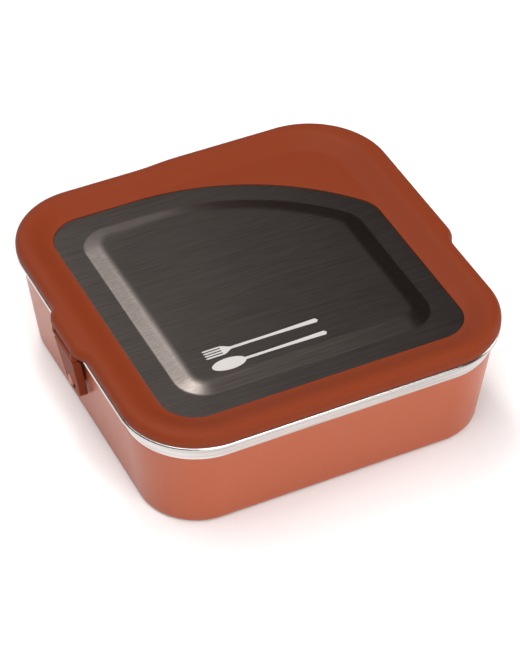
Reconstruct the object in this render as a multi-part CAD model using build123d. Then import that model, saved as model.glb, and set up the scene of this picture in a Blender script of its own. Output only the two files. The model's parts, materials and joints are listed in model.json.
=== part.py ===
"""Square steel lunch box with a moulded lid, a pressed steel lid plate and two side latches.

Frame: +Z up, +X to the right, -Y to the front. The origin is the middle of the flat base.
Every plan outline of the box is a rounded square, and all of them share the same four
corner centres, so a section drawn once on the +X side is carried round the box by sweeping.
"""
import os
from math import asin, cos, hypot, radians, sin, sqrt, tan

from build123d import *

# ---------------------------------------------------------------- driving dimensions (mm)
# Overall
SIZE = 170.0                 # outer width and depth of the lid, without its bulges
HEIGHT = 55.5                # base to the highest part of the lid
CORNER_R = 33.3              # outer corner radius of the lid

# Steel tray
SHEET = 0.7                  # drawn sheet thickness
DRAFT = 7.33                 # degrees that each wall leans outwards
BASE_FILLET_R = 3.0          # outside radius between wall and base
CURL_R = 1.3                 # outside radius of the rolled rim
CURL_END = -140.0            # degrees at which the rolled edge stops, under the rim

# Lid moulding
LID_EDGE = 5.7               # height of the lid's outer edge
SHOULDER_R = 3.6             # rounding along the top of that edge
LOWER_R = 0.8                # rounding along the bottom of that edge
RING_WIDTH = 16.6            # outer edge to the steel plate, on the plain sides
CREST_WIDTH = 4.0            # outer edge to the highest line of the ring
DISH_DEPTH = 4.0             # fall from the crest to the flat beside the plate
LEDGE_WIDTH = 5.0            # shelf that carries the plate's rim
LEDGE_THICK = 1.6
PLUG_DEPTH = 7.8             # how far the plug wall reaches down into the tray
PLUG_WALL = 1.8
PULL_OUT = 1.2               # how far the pull corner stands out at the back
PULL_START = -20.0           # x where the back edge starts to step out
PULL_STEP = 24.0             # length of that step
PULL_CORNER_R = 37.0
BULGE_HALF = 9.5             # half length of the straight part over each latch
BULGE_STEP = 11.0            # length of the step back to the plain edge

# Steel plate in the lid
PLATE_THICK = 0.8
PLATE_DROP = 4.5             # lid's highest point down to the plate's rim
PLATE_CORNER_R = 16.0        # both left corners
PLATE_FRONT_RIGHT_R = 14.0
SWEEP_R = 115.0              # big arc across the back right of the plate
SWEEP_START = -24.0          # x where the arc leaves the straight back edge
SWEEP_END_R = 16.0           # blend from the arc into the right edge
PANEL_INSET = 10.0           # plate edge to the foot of the raised panel
PANEL_CORNER_R = 14.0        # all the panel's corners, at its foot
PANEL_SLOPE = 6.5            # width of the panel's sloping border
PANEL_RISE = 1.3

# Seal
SEAL_HEIGHT = 2.6
SEAL_TOP_DROP = 2.2          # lid's underside down to the top of the seal
SEAL_GROOVE = 0.9            # depth of the seal's groove in the plug wall

# Latches, studs and hinges
KNUCKLE_R = 1.55
KNUCKLE_HALF = 8.0           # half length of the latch's knuckle
LUG_WIDTH = 2.0
PIN_R = 0.7
HINGE_DROP = 2.6             # lid's underside down to the hinge line
LATCH_HALF = 9.4             # half width of the latch at its top
LATCH_TIP_HALF = 6.8         # half width just above its rounded end
LATCH_TIP_R = 5.0
LATCH_TOP_DROP = 1.9         # hinge line down to the top of the latch's face
LATCH_CORNER_DROP = 2.6      # hinge line down to its top corners, which swing past the ears
LATCH_NECK = 4.2             # hinge line down to where the side flanges reach full depth
LATCH_LENGTH = 27.4          # hinge line down to the latch's end
LATCH_WEB = 1.8
LATCH_FLANGE = 1.6           # thickness of each side flange
FLANGE_TOP_GAP = 1.5         # side flange to tray wall at the neck
FLANGE_END_GAP = 0.45        # side flange to tray wall at the end
FLANGE_DEPTH = 3.75
STUD_R = 2.6
STUD_DROP = 20.2             # hinge line down to the stud
STUD_PROUD = 0.7             # how far the stud stands out of the latch's face
STUD_ROUND = 0.8
SLOT_DROP = 2.0              # extra length of the latch's hole, below the stud

# Clearances
MOVING_GAP = 0.3             # between pieces that move past each other
PIN_GAP = 0.05               # hinge pin in the latch's knuckle
PLATE_FIT = 0.1              # plate edge to its recess
PLUG_GAP = 0.6               # plug wall to the inside of the tray

# ---------------------------------------------------------------- sizes worked out from these
LID_HALF = SIZE / 2
CORNER_CENTRE = LID_HALF - CORNER_R
LID_UNDER = HEIGHT - LID_EDGE
CURL_X = LID_HALF - CURL_R
CURL_Z = LID_UNDER - MOVING_GAP - CURL_R
HINGE_X = LID_HALF + MOVING_GAP + KNUCKLE_R
HINGE_Z = LID_UNDER - HINGE_DROP
BULGE_X = HINGE_X + KNUCKLE_R
LUG_IN = KNUCKLE_HALF + MOVING_GAP
PLATE_HALF = LID_HALF - RING_WIDTH
PLATE_TOP = HEIGHT - PLATE_DROP
PLATE_UNDER = PLATE_TOP - PLATE_THICK
LEDGE_UNDER = PLATE_UNDER - LEDGE_THICK
PLUG_END = LID_UNDER - PLUG_DEPTH
STUD_Z = HINGE_Z - STUD_DROP
LATCH_END = HINGE_Z - LATCH_LENGTH
NECK_Z = HINGE_Z - LATCH_NECK


def wall_inside(z):
    """Half width of the inside of the tray at height z."""
    lean = radians(DRAFT)
    touch_x = CURL_X - CURL_R * cos(lean)
    touch_z = CURL_Z + CURL_R * sin(lean)
    return touch_x - (touch_z - z) * tan(lean)


def wall_outside(z):
    """Half width of the outside of the tray at height z."""
    return wall_inside(z) + SHEET / cos(radians(DRAFT))


# ---------------------------------------------------------------- shared helpers
def tangent_path(start, heading, stops):
    """Edges from stop to stop, each leaving the last one smoothly as an arc or a line."""
    edges = []
    here, direction = Vector(*start), Vector(*heading)
    for stop in stops:
        there = Vector(*stop)
        ahead = (there - here).normalized()
        if (direction.normalized() - ahead).length < 1e-9:
            edge = Line(here, there)
        else:
            edge = TangentArc(here, there, tangent=direction)
        direction = edge % 1
        here = there
        edges.append(edge)
    return edges


def step(start, end):
    """The two stops of a smooth sideways step: its middle and its end."""
    middle = ((start[0] + end[0]) / 2, (start[1] + end[1]) / 2)
    return [middle, end]


def around_box(section):
    """Carry a section, drawn as (half width, height), round the box's rounded square."""
    half = CORNER_CENTRE + CORNER_R / 2
    c = CORNER_CENTRE
    stops = [(half, c), (c, half), (-c, half), (-half, c), (-half, -c),
             (-c, -half), (c, -half), (half, -c), (half, 0)]
    path = Wire(tangent_path((half, 0), (0, 1), stops))
    return sweep(Plane.XZ * section, path=path)


def rounded_square(half):
    """A square of the family that shares the lid's corner centres."""
    return RectangleRounded(2 * half, 2 * half, half - CORNER_CENTRE)


def block(half, bottom, top):
    """A solid rounded square between two heights."""
    return Pos(0, 0, bottom) * extrude(rounded_square(half), top - bottom)


def polygon(*points):
    return make_face(Polyline(*points, close=True))


def along_y(section, low, high):
    """A solid from a section drawn as (x, z), between two values of y."""
    return extrude(Plane.XZ.offset(-low) * section, -(high - low))


def both_ends(solid):
    """A solid and its mirror image across the XZ plane."""
    return [solid, mirror(solid, about=Plane.XZ)]


def left_of(solid):
    """The left-hand copy of a right-hand piece: the same piece turned half round."""
    return Rot(0, 0, 180) * solid


# ---------------------------------------------------------------- steel tray
def tray_section():
    """The drawn sheet in section: base, bottom curve, leaning wall and rolled rim."""
    lean = radians(DRAFT)
    floor_end = CORNER_CENTRE + 10.0

    def corner(radius):
        """Points where a bottom curve of this radius leaves the base and joins the wall."""
        centre_z = BASE_FILLET_R
        centre_x = wall_outside(centre_z) - BASE_FILLET_R / cos(lean)
        return ((centre_x, centre_z - radius),
                (centre_x + radius * cos(lean), centre_z - radius * sin(lean)))

    def on_curl(radius, degrees_):
        return (CURL_X + radius * cos(radians(degrees_)), CURL_Z + radius * sin(radians(degrees_)))

    start = 180.0 - DRAFT
    inner_r = CURL_R - SHEET
    out_a, out_b = corner(BASE_FILLET_R)
    in_a, in_b = corner(BASE_FILLET_R - SHEET)
    outside = tangent_path((floor_end, 0), (1, 0), [out_a, out_b, on_curl(inner_r, start)])
    inside = tangent_path((floor_end, SHEET), (1, 0), [in_a, in_b, on_curl(CURL_R, start)])
    sweep_angle = CURL_END - start
    curls = [CenterArc((CURL_X, CURL_Z), r, start, sweep_angle) for r in (inner_r, CURL_R)]
    ends = [Line((floor_end, 0), (floor_end, SHEET)), Line(curls[0] @ 1, curls[1] @ 1)]
    return make_face(outside + inside + curls + ends)


def body_shell():
    floor = block(CORNER_CENTRE + 11.0, 0, SHEET)
    return floor + around_box(tray_section())


def stud():
    """The button that the right latch hooks over, seated on the leaning wall."""
    tip = latch_face(STUD_Z) + STUD_PROUD
    root = wall_inside(STUD_Z) - 1.0
    button = Pos(root, 0, STUD_Z) * Rot(0, 90, 0) * Cylinder(
        STUD_R, tip - root, align=(Align.CENTER, Align.CENTER, Align.MIN))
    button = fillet(button.edges().group_by(Axis.X)[-1], STUD_ROUND)
    low, high = STUD_Z - 2 * STUD_R, STUD_Z + 2 * STUD_R
    wall = polygon((wall_outside(low), low), (wall_outside(high), high),
                   (root - 1, high), (root - 1, low))
    return button - along_y(wall, -2 * STUD_R, 2 * STUD_R)


# ---------------------------------------------------------------- lid
def lid_outline():
    """Plan of the lid: a rounded square with a bulge over each latch and a pull corner."""
    half, c, bulge = LID_HALF, CORNER_CENTRE, BULGE_X
    near, far = BULGE_HALF, BULGE_HALF + BULGE_STEP
    back = half + PULL_OUT
    stops = [(bulge, back - PULL_CORNER_R), (bulge - PULL_CORNER_R, back),
             (PULL_START + PULL_STEP, back)]
    stops += step((PULL_START + PULL_STEP, back), (PULL_START, half))
    stops += [(-c, half), (-half, c), (-half, far)]
    stops += step((-half, far), (-bulge, near))
    stops += [(-bulge, -near)]
    stops += step((-bulge, -near), (-half, -far))
    stops += [(-half, -c), (-c, -half), (c, -half), (half, -c), (half, -far)]
    stops += step((half, -far), (bulge, -near))
    return make_face(tangent_path((bulge, -near), (0, 1), stops))


def swept_square(inset, left_r, front_r, end_r):
    """A square with a big arc sweeping across its back right, this far inside the plate's edge."""
    half = PLATE_HALF - inset
    sweep_r = SWEEP_R - inset
    sweep_y = PLATE_HALF - SWEEP_R
    blend_x = half - end_r
    reach = sweep_r - end_r
    blend_y = sweep_y + sqrt(reach**2 - (blend_x - SWEEP_START)**2)
    share = sweep_r / reach
    meet = (SWEEP_START + (blend_x - SWEEP_START) * share, sweep_y + (blend_y - sweep_y) * share)
    stops = [(half, blend_y), meet, (SWEEP_START, half), (-half + left_r, half),
             (-half, half - left_r), (-half, -half + left_r), (-half + left_r, -half),
             (half - front_r, -half), (half, -half + front_r)]
    return make_face(tangent_path((half, -half + front_r), (0, 1), stops))


def plate_outline():
    """Plan of the steel plate."""
    return swept_square(0, PLATE_CORNER_R, PLATE_FRONT_RIGHT_R, SWEEP_END_R)


def panel_outline():
    """Plan of the raised panel's foot, which follows the plate's edge with rounder corners."""
    return swept_square(PANEL_INSET, PANEL_CORNER_R, PANEL_CORNER_R, PANEL_CORNER_R)


def dish_cutter():
    """What is taken out above the ring: a hollow that falls from the crest to the plate."""
    crest = LID_HALF - CREST_WIDTH
    low = HEIGHT - DISH_DEPTH
    run = crest - PLATE_HALF
    curve_r = (run**2 + DISH_DEPTH**2) / (2 * DISH_DEPTH)
    swing = asin(run / curve_r)
    halfway = (PLATE_HALF + curve_r * sin(swing / 2), low + curve_r * (1 - cos(swing / 2)))
    section = make_face([
        ThreePointArc((PLATE_HALF, low), halfway, (crest, HEIGHT)),
        Line((crest, HEIGHT), (PLATE_HALF, HEIGHT)),
        Line((PLATE_HALF, HEIGHT), (PLATE_HALF, low)),
    ])
    return around_box(section) + block(PLATE_HALF, low, HEIGHT)


def lug():
    """One of the two ears under the lid's right bulge that carry the hinge pin."""
    upright = Pos(HINGE_X, HINGE_Z) * Rectangle(
        2 * KNUCKLE_R, LID_UNDER + LOWER_R - HINGE_Z, align=(Align.CENTER, Align.MIN))
    section = upright + Pos(HINGE_X, HINGE_Z) * Circle(KNUCKLE_R) - Pos(HINGE_X, HINGE_Z) * Circle(PIN_R)
    return along_y(section, LUG_IN, LUG_IN + LUG_WIDTH)


def lid_frame():
    """The moulded ring: outer edge, dished top, ledge for the plate, plug wall and hinge ears."""
    edge = Pos(0, 0, LID_UNDER) * extrude(lid_outline(), LID_EDGE)
    edge = fillet(edge.edges().group_by(Axis.Z)[-1], SHOULDER_R)
    edge = fillet(edge.edges().group_by(Axis.Z)[0], LOWER_R)
    plug = plug_half()
    solid = edge + block(plug, LEDGE_UNDER, LID_UNDER + 1.0)
    solid += block(plug, PLUG_END, LEDGE_UNDER + 0.1) - block(plug - PLUG_WALL, PLUG_END, LEDGE_UNDER + 0.1)
    solid -= dish_cutter()
    recess = offset(plate_outline(), PLATE_FIT)
    solid -= Pos(0, 0, PLATE_UNDER) * extrude(recess, HEIGHT)
    window = offset(plate_outline(), -LEDGE_WIDTH)
    solid -= extrude(window, HEIGHT)
    solid -= around_box(seal_section(0))
    for ear in both_ends(lug()):
        solid += ear + left_of(ear)
    return solid


def plug_half():
    """Half width of the plug wall, which clears the tray where the tray is narrowest."""
    return wall_inside(PLUG_END) - PLUG_GAP


def seal_section(lip):
    """The seal in its groove; lip is how far it stands out of the plug wall."""
    top = LID_UNDER - SEAL_TOP_DROP
    bottom = top - SEAL_HEIGHT
    back = plug_half() - SEAL_GROOVE
    if lip == 0:
        face = plug_half() + 0.1
        return polygon((back, bottom), (face, bottom), (face, top), (back, top))
    tip = plug_half() + lip
    tip_z = bottom + SEAL_HEIGHT * 0.4
    return polygon((back, bottom), (plug_half(), bottom), (tip, tip_z),
                   (tip, tip_z + 0.6), (plug_half(), top), (back, top))


def seal_ring():
    """The rubber ring round the plug wall; its lip stops just short of the tray."""
    lip_z = LID_UNDER - SEAL_TOP_DROP - SEAL_HEIGHT
    lip = wall_inside(lip_z) - MOVING_GAP - plug_half()
    return around_box(seal_section(lip))


def panel(base_z):
    """The sloping-sided block that raises the middle of the plate."""
    foot = Pos(0, 0, base_z) * panel_outline()
    head = Pos(0, 0, base_z + PANEL_RISE) * offset(panel_outline(), -PANEL_SLOPE)
    return loft([foot, head], ruled=True)


def lid_plate():
    """The pressed steel plate: a flat rim and a raised middle, hollow underneath."""
    sheet = Pos(0, 0, PLATE_UNDER) * extrude(plate_outline(), PLATE_THICK)
    return sheet + panel(PLATE_TOP) - panel(PLATE_UNDER)


# ---------------------------------------------------------------- latches
def latch_back(z):
    """Distance from the middle to the free edges of the latch's side flanges."""
    top = wall_outside(NECK_Z) + FLANGE_TOP_GAP
    end = wall_outside(LATCH_END) + FLANGE_END_GAP
    return end + (top - end) * (z - LATCH_END) / (NECK_Z - LATCH_END)


def latch_face(z):
    """Distance from the middle to the latch's outer face."""
    return latch_back(z) + FLANGE_DEPTH


def latch_front_view():
    """The latch seen square on, as (y, z): it narrows to a rounded end."""
    top = HINGE_Z + KNUCKLE_R
    shoulder = NECK_Z
    outline = polygon((-LATCH_HALF, top), (LATCH_HALF, top), (LATCH_HALF, shoulder),
                      (LATCH_TIP_HALF, LATCH_END), (-LATCH_TIP_HALF, LATCH_END),
                      (-LATCH_HALF, shoulder))
    ends = outline.vertices().group_by(Axis.Y)[0]
    return fillet(ends, LATCH_TIP_R)


def latch():
    """The right latch: a channel hung from its knuckle, with a hole that hooks on the stud."""
    face_top = HINGE_Z - LATCH_TOP_DROP
    plate = polygon((latch_face(face_top), face_top), (latch_face(LATCH_END), LATCH_END),
                    (latch_back(LATCH_END), LATCH_END), (latch_back(NECK_Z), NECK_Z),
                    (HINGE_X - KNUCKLE_R, NECK_Z + KNUCKLE_R), (HINGE_X - KNUCKLE_R, HINGE_Z),
                    (HINGE_X, HINGE_Z), (latch_face(face_top) - 0.35, face_top + 0.45))
    solid = along_y(plate, -LATCH_HALF, LATCH_HALF)
    front = Plane.YZ * latch_front_view()
    solid &= extrude(front, 2 * LID_HALF)
    channel = polygon((latch_face(NECK_Z) - LATCH_WEB, NECK_Z), (latch_back(NECK_Z) - 1, NECK_Z),
                      (latch_back(LATCH_END) - 1, LATCH_END - 1),
                      (latch_face(LATCH_END - 1) - LATCH_WEB, LATCH_END - 1))
    channel_half = LATCH_TIP_HALF - LATCH_FLANGE
    flare = (LATCH_HALF - LATCH_TIP_HALF) / (NECK_Z - LATCH_END)
    mouth = polygon((-channel_half - flare * (NECK_Z - LATCH_END), NECK_Z),
                    (channel_half + flare * (NECK_Z - LATCH_END), NECK_Z),
                    (channel_half, LATCH_END - 1), (-channel_half, LATCH_END - 1))
    solid -= along_y(channel, -LATCH_HALF, LATCH_HALF) & extrude(Plane.YZ * mouth, 2 * LID_HALF)
    corner_width = LATCH_HALF - KNUCKLE_HALF
    above = Pos(HINGE_X, HINGE_Z - LATCH_CORNER_DROP) * Rectangle(
        2 * LATCH_LENGTH, LATCH_LENGTH, align=(Align.CENTER, Align.MIN))
    for y in (-LATCH_HALF, KNUCKLE_HALF):
        solid -= along_y(above, y, y + corner_width)
    knuckle = Pos(HINGE_X, HINGE_Z) * Circle(KNUCKLE_R)
    solid += along_y(knuckle, -KNUCKLE_HALF, KNUCKLE_HALF)
    bore = Pos(HINGE_X, HINGE_Z) * Circle(PIN_R + PIN_GAP)
    solid -= along_y(bore, -LATCH_HALF, LATCH_HALF)
    hole_r = STUD_R + MOVING_GAP
    hole = Pos(0, STUD_Z - SLOT_DROP / 2) * Rot(0, 0, 90) * SlotCenterToCenter(SLOT_DROP, hole_r * 2)
    return solid - extrude(Plane.YZ * hole, 2 * LID_HALF)


def hinge_pin():
    """The right hinge pin, held in both ears and running through the latch's knuckle."""
    reach = LUG_IN + LUG_WIDTH
    return along_y(Pos(HINGE_X, HINGE_Z) * Circle(PIN_R), -reach, reach)


# ---------------------------------------------------------------- write one file per piece
def pieces():
    right = {"stud": stud(), "latch": latch(), "hinge_pin": hinge_pin()}
    yield "body_shell", body_shell()
    yield "lid_frame", lid_frame()
    yield "lid_plate", lid_plate()
    yield "seal_ring", seal_ring()
    for name, solid in right.items():
        yield "right_" + name, solid
        yield "left_" + name, left_of(solid)


os.makedirs("parts", exist_ok=True)
for name, solid in pieces():
    export_step(solid, os.path.join("parts", name + ".step"))
    print(f"{name}: {solid.volume:.1f} mm3")
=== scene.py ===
# %% [markdown]
# # A square steel lunch box
#
# The box is a drawn steel tray, powder coated on the outside, under a moulded lid. A dark brushed
# steel plate is set into the lid, and a hinged latch on each side hooks over a stud on the wall.
# The design model gives every place and size, so each cell below only makes one piece look right.

# %% Load the design model as a fixed frame
import json
import math

import bmesh
import bpy
import numpy as np
from mathutils import Matrix, Vector


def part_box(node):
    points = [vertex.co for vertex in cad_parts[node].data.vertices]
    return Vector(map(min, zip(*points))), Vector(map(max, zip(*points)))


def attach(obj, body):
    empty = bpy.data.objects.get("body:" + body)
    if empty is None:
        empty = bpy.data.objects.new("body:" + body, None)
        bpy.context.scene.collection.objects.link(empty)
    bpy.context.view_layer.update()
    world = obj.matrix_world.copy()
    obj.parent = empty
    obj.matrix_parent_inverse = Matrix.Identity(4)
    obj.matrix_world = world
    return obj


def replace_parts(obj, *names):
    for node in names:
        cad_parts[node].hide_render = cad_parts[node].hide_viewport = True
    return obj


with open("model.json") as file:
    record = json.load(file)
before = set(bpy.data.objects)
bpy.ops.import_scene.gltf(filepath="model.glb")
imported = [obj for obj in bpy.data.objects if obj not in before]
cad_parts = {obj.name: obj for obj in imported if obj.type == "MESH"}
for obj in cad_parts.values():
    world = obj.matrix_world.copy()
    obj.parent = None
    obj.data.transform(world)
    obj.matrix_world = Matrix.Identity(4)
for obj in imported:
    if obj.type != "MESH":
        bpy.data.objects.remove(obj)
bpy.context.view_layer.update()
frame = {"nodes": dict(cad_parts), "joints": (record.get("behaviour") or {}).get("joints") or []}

MM = 0.001

# %% [markdown]
# ## Sizes
#
# Heights and widths that the design model already fixes are read from it. The roundings and the
# sheet thickness can't be read from a box, so they are written here once, in metres.

# %% Read the main sizes
lid_low, lid_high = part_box("lid_frame")
plate_low, plate_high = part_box("lid_plate")
shell_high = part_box("body_shell")[1]

LID_HALF = -lid_low.y
LID_TOP = lid_high.z
LID_EDGE = 5.7 * MM
LID_UNDER = LID_TOP - LID_EDGE
BULGE_X = lid_high.x
PULL_BACK = lid_high.y
CORNER_R = 33.3 * MM
CORNER_CENTRE = LID_HALF - CORNER_R
PLUG_END = lid_low.z

PLATE_HALF = plate_high.x
PLATE_UNDER = plate_low.z
PLATE_THICK = 0.8 * MM
PLATE_TOP = PLATE_UNDER + PLATE_THICK
PANEL_RISE = plate_high.z - PLATE_TOP

SHEET = 0.7 * MM
CURL_R = 1.3 * MM
CURL_X = shell_high.x - CURL_R
CURL_Z = shell_high.z - CURL_R
DRAFT = math.radians(7.33)

hinge = next(j for j in frame["joints"] if j["name"] == "right_latch_swing")
HINGE_X, _, HINGE_Z = hinge["pos_m"]
KNUCKLE_R = 1.55 * MM
print("hinge line at", round(HINGE_X / MM, 2), round(HINGE_Z / MM, 2), "mm")


# %% Find the leaning wall at any height
def wall_inside(z):
    """Half width of the inside of the tray at height z."""
    touch_x = CURL_X - CURL_R * math.cos(DRAFT)
    touch_z = CURL_Z + CURL_R * math.sin(DRAFT)
    return touch_x - (touch_z - z) * math.tan(DRAFT)


def wall_outside(z):
    """Half width of the outside of the tray at height z."""
    return wall_inside(z) + SHEET / math.cos(DRAFT)


print("inside half width in mm:", [round(wall_inside(z * MM) / MM, 1) for z in (0, 20, 40)])

# %% [markdown]
# ## Helpers for shapes
#
# Every outline of this box is lines and arcs that run smoothly into each other, so one tracer
# draws them all: from stop to stop it goes straight, or bends in the one arc that leaves smoothly.

# %% Trace smooth outlines
def trace(start, heading, stops, spacing=0.4 * MM):
    """Points along lines and tangent arcs through the stops."""
    here, ahead = np.array(start, float), np.array(heading, float)
    runs = []
    for stop in stops:
        there = np.array(stop, float)
        chord = there - here
        side = np.array((-ahead[1], ahead[0]))
        rise, run = chord @ side, chord @ ahead
        count = max(2, int(np.hypot(*chord) / spacing))
        share = np.linspace(0, 1, count, endpoint=False)[:, None]
        if abs(rise) < 1e-9:
            runs.append(here + share * chord)
        else:
            radius = (chord @ chord) / (2 * rise)
            turn = 2 * math.atan2(rise, run)
            centre = here + side * radius
            runs.append(centre + radius * (np.sin(share * turn) * ahead - np.cos(share * turn) * side))
            ahead = math.cos(turn) * ahead + math.sin(turn) * side
        here = there
    return np.vstack(runs)


quarter = trace((10 * MM, 0), (0, 1), [(0, 10 * MM)])
print("a quarter circle traced in", len(quarter), "points")


# %% Read an outline along rays from the middle
def inward(outline):
    """Unit vectors that point into a closed outline drawn anticlockwise."""
    along = np.roll(outline, -1, 0) - np.roll(outline, 1, 0)
    side = np.stack((-along[:, 1], along[:, 0]), 1)
    return side / np.linalg.norm(side, axis=1)[:, None]


def at_bearings(outline, bearings, values=None):
    """Where rays from the middle cross a closed outline, or the values that belong to those places."""
    own = np.unwrap(np.arctan2(outline[:, 1], outline[:, 0]))
    own = np.append(own, own[0] + 2 * math.pi)
    read = outline if values is None else values
    closed = np.vstack((read, read[:1]))
    wanted = (bearings - own[0]) % (2 * math.pi) + own[0]
    return np.stack([np.interp(wanted, own, closed[:, axis]) for axis in (0, 1)], 1)


def inward_at(outline, bearings):
    """The inward unit vectors where those rays cross the outline."""
    read = at_bearings(outline, bearings, inward(outline))
    return read / np.linalg.norm(read, axis=1)[:, None]


def step_stops(start, end):
    """Two stops that make a smooth sideways step: its middle and its end."""
    return [((start[0] + end[0]) / 2, (start[1] + end[1]) / 2), end]


print("a step of 2 by 4 goes through", step_stops((0, 0), (2, 4)))


# %% Shade a mesh and make it a piece
SHARP_DEGREES = 35
WELD_DISTANCE = 1e-7


def shade(mesh, sharp_degrees=SHARP_DEGREES):
    """Smooth shading, with a crisp edge wherever two faces meet at more than the given angle."""
    work = bmesh.new()
    work.from_mesh(mesh)
    limit = math.radians(sharp_degrees)
    for face in work.faces:
        face.smooth = True
    for edge in work.edges:
        edge.smooth = edge.calc_face_angle(0) < limit
    work.to_mesh(mesh)
    work.free()


def add_piece(name, mesh, *materials):
    """An object at the origin, with its place in its mesh."""
    piece = bpy.data.objects.new(name, mesh)
    bpy.context.scene.collection.objects.link(piece)
    for material in materials:
        piece.data.materials.append(material)
    return piece


def face_outwards(mesh):
    """Merge doubled points and turn every face outwards."""
    work = bmesh.new()
    work.from_mesh(mesh)
    bmesh.ops.remove_doubles(work, verts=work.verts, dist=WELD_DISTANCE)
    bmesh.ops.recalc_face_normals(work, faces=work.faces)
    work.to_mesh(mesh)
    work.free()


print("edges sharper than", SHARP_DEGREES, "degrees stay crisp")
print("points nearer than", WELD_DISTANCE, "m are welded")


# %% Turn rows of points into a mesh
def rows_to_mesh(name, rows, closed):
    """Quads between rows of points; each row is a ring, and the last row may meet the first."""
    count = len(rows[0])
    points = np.vstack(rows)
    pairs = list(zip(range(len(rows) - 1), range(1, len(rows))))
    if closed:
        pairs.append((len(rows) - 1, 0))
    faces = []
    for a, b in pairs:
        for i in range(count):
            j = (i + 1) % count
            faces.append((a * count + i, a * count + j, b * count + j, b * count + i))
    if not closed:
        faces.append(tuple(range(count))[::-1])
        last = (len(rows) - 1) * count
        faces.append(tuple(range(last, last + count)))
    mesh = bpy.data.meshes.new(name)
    mesh.from_pydata(points.tolist(), [], faces)
    face_outwards(mesh)
    return mesh


trial = rows_to_mesh("trial", [np.array([(0, 0, z), (1, 0, z), (0, 1, z)]) for z in (0, 1)], False)
print("two rows of three points make", len(trial.polygons), "faces")
bpy.data.meshes.remove(trial)


# %% Points on an arc
def arc(centre, radius, start, end, steps):
    """Points on an arc, in degrees, both ends included."""
    turns = np.radians(np.linspace(start, end, steps + 1))
    return [(centre[0] + radius * math.cos(t), centre[1] + radius * math.sin(t)) for t in turns]


print("an eighth of a circle ends at", [round(float(v), 3) for v in arc((0, 0), 1, 0, 45, 4)[-1]])


# %% Turn a profile on a lathe
LATHE_SIDES = 48


def lathe(name, profile, centre, axis, steps=LATHE_SIDES):
    """A turned piece: profile is (distance along the axis, radius), from one end to the other."""
    direction = Vector(axis).normalized()
    turn = direction.to_track_quat("Z", "Y").to_matrix()
    angles = np.linspace(0, 2 * math.pi, steps, endpoint=False)
    rows = []
    for along, radius in profile:
        ring = np.stack((radius * np.cos(angles), radius * np.sin(angles), np.full(steps, along)), 1)
        rows.append(ring @ np.array(turn).T + np.array(centre))
    mesh = rows_to_mesh(name, rows, closed=False)
    shade(mesh)
    return mesh


print("turned pieces have", LATHE_SIDES, "sides unless told otherwise")

# %% [markdown]
# ## Shared surface effects
#
# Three effects show up on more than one finish, so each is a node group with named inputs:
# the fine grain of a moulded or sprayed surface, the parallel lines of brushed steel, and the
# faint smears that handling leaves. Each could be an image, but noise read from Object coordinates
# needs no unwrapping and has no seams. Each group only puts out values and a normal.

# %% Helpers for node trees
def add_node(tree, kind, sockets=None, **settings):
    """A node with its settings, and its inputs set or linked by name or number."""
    made = tree.nodes.new(kind)
    for key, value in settings.items():
        setattr(made, key, value)
    for key, value in (sockets or {}).items():
        if isinstance(value, bpy.types.NodeSocket):
            tree.links.new(value, made.inputs[key])
        else:
            made.inputs[key].default_value = value
    return made


def new_group(name, inputs, outputs):
    """An empty shader group; inputs are (name, default) and outputs are (name, socket type)."""
    group = bpy.data.node_groups.new(name, "ShaderNodeTree")
    for label, default in inputs:
        made = group.interface.new_socket(label, in_out="INPUT", socket_type="NodeSocketFloat")
        made.default_value = default
    for label, kind in outputs:
        group.interface.new_socket(label, in_out="OUTPUT", socket_type=kind)
    return group, group.nodes.new("NodeGroupInput"), group.nodes.new("NodeGroupOutput")


def use_group(tree, group, sockets=None):
    """A group placed in a material, with its own values."""
    return add_node(tree, "ShaderNodeGroup", sockets, node_tree=group)


print("node groups before any effect is made:", len(bpy.data.node_groups))

# %% Fine grain of a moulded or sprayed surface
WAVE_HEIGHT, GRAIN_HEIGHT = 0.6 * MM, 0.2 * MM
WAVES_PER_METRE = 90.0
grain_group, grain_in, grain_out = new_group(
    "surface_grain",
    [("Grains per Metre", 2500.0), ("Grain Depth", 0.02), ("Waviness", 0.1)],
    [("Normal", "NodeSocketVector"), ("Grain", "NodeSocketFloat")])
place = add_node(grain_group, "ShaderNodeTexCoord")
grains = add_node(grain_group, "ShaderNodeTexNoise", {
    "Vector": place.outputs["Object"], "Scale": grain_in.outputs["Grains per Metre"],
    "Detail": 3.0, "Roughness": 0.6})
waves = add_node(grain_group, "ShaderNodeTexNoise", {
    "Vector": place.outputs["Object"], "Scale": WAVES_PER_METRE, "Detail": 1.0})
wave_bump = add_node(grain_group, "ShaderNodeBump", {
    "Height": waves.outputs["Fac"], "Strength": grain_in.outputs["Waviness"],
    "Distance": WAVE_HEIGHT})
grain_bump = add_node(grain_group, "ShaderNodeBump", {
    "Height": grains.outputs["Fac"], "Strength": grain_in.outputs["Grain Depth"],
    "Distance": GRAIN_HEIGHT, "Normal": wave_bump.outputs["Normal"]})
grain_group.links.new(grain_bump.outputs["Normal"], grain_out.inputs["Normal"])
grain_group.links.new(grains.outputs["Fac"], grain_out.inputs["Grain"])
print(grain_group.name, "has", len(grain_group.nodes), "nodes")

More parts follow.
